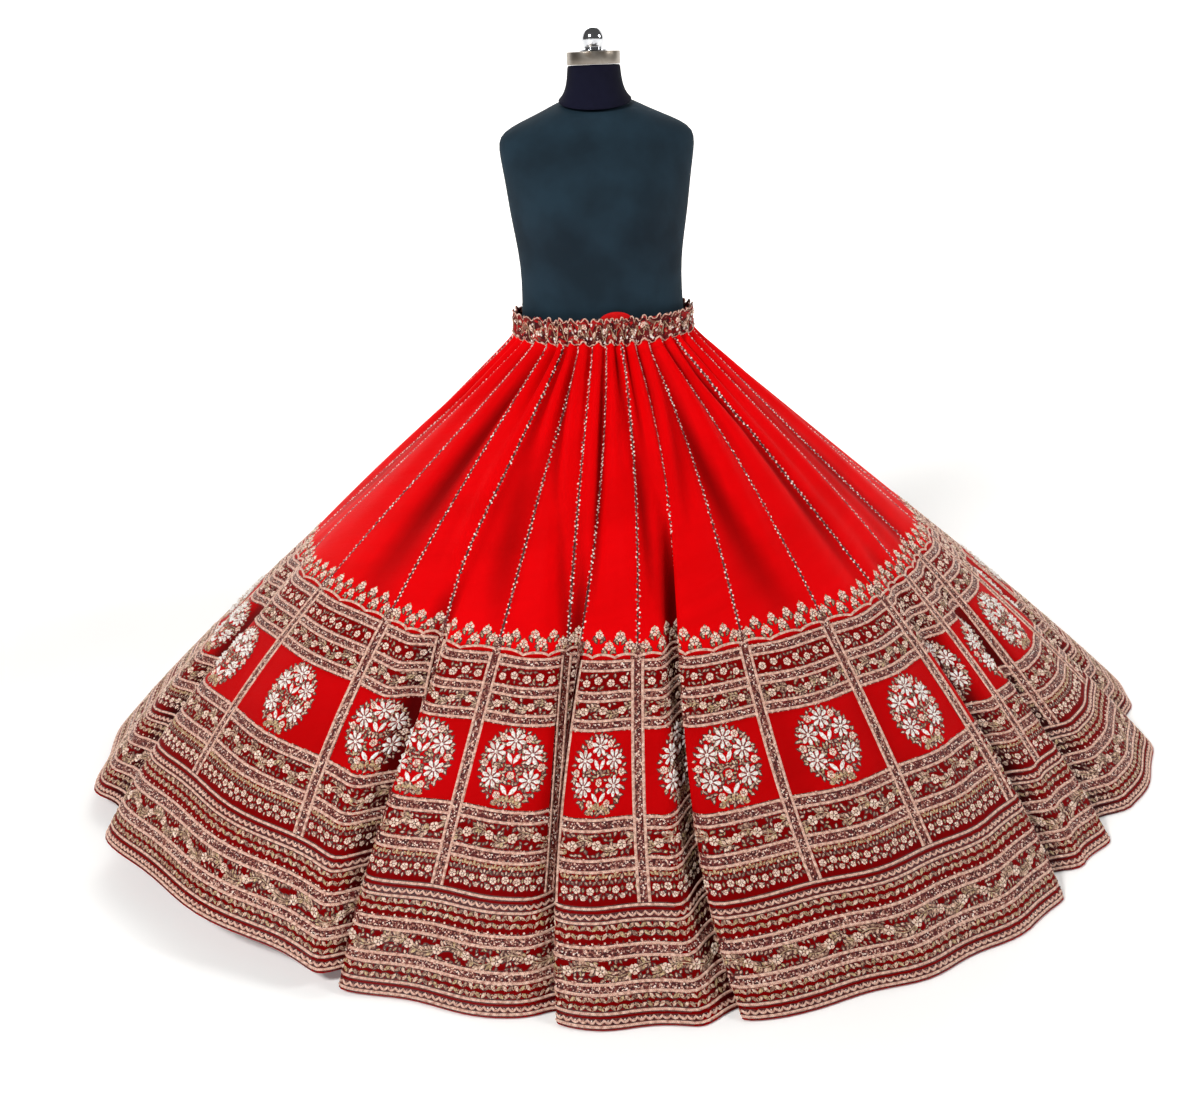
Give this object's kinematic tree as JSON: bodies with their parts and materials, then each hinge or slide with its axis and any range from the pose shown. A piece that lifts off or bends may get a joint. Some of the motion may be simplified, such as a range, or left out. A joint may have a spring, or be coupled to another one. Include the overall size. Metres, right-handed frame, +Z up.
{
  "type": "lehenga skirt on a dress form",
  "caption": "Flared floor-length lehenga skirt of sewn gores with a gathered waistband, hanging in deep folds on a limbless dress form with a neck cap and a round stand.",
  "frame": {"origin": "centre of the flat underside of the stand's round foot, on the floor", "axes": "+Z up, -Y towards the front of the skirt, +X towards the wearer's left"},
  "size_m": [1.9526, 1.8556, 1.2391],
  "materials": {
    "red_silk": "satin",
    "waistband_silk": "embroidered",
    "drawstring_tape": "matte",
    "teal_jersey": "matte",
    "navy_jersey": "matte",
    "brushed_nickel": "brushed",
    "chrome": "polished",
    "black_enamel": "satin"
  },
  "bodies": {
    "root": {"kali_01": "red_silk", "kali_02": "red_silk", "kali_03": "red_silk", "kali_04": "red_silk", "kali_05": "red_silk", "kali_06": "red_silk", "kali_07": "red_silk", "kali_08": "red_silk", "kali_09": "red_silk", "kali_10": "red_silk", "kali_11": "red_silk", "kali_12": "red_silk", "kali_13": "red_silk", "kali_14": "red_silk", "kali_15": "red_silk", "kali_16": "red_silk", "kali_17": "red_silk", "kali_18": "red_silk", "kali_19": "red_silk", "kali_20": "red_silk", "kali_21": "red_silk", "kali_22": "red_silk", "kali_23": "red_silk", "kali_24": "red_silk", "kali_25": "red_silk", "kali_26": "red_silk", "kali_27": "red_silk", "kali_28": "red_silk", "kali_29": "red_silk", "kali_30": "red_silk", "kali_31": "red_silk", "kali_32": "red_silk", "waistband": "waistband_silk", "drawstring": "drawstring_tape", "form_torso": "teal_jersey", "neck_cover": "navy_jersey", "neck_cap": "brushed_nickel", "finial": "chrome", "stand_pole": "black_enamel", "stand_base": "black_enamel"}
  },
  "joints": []
}
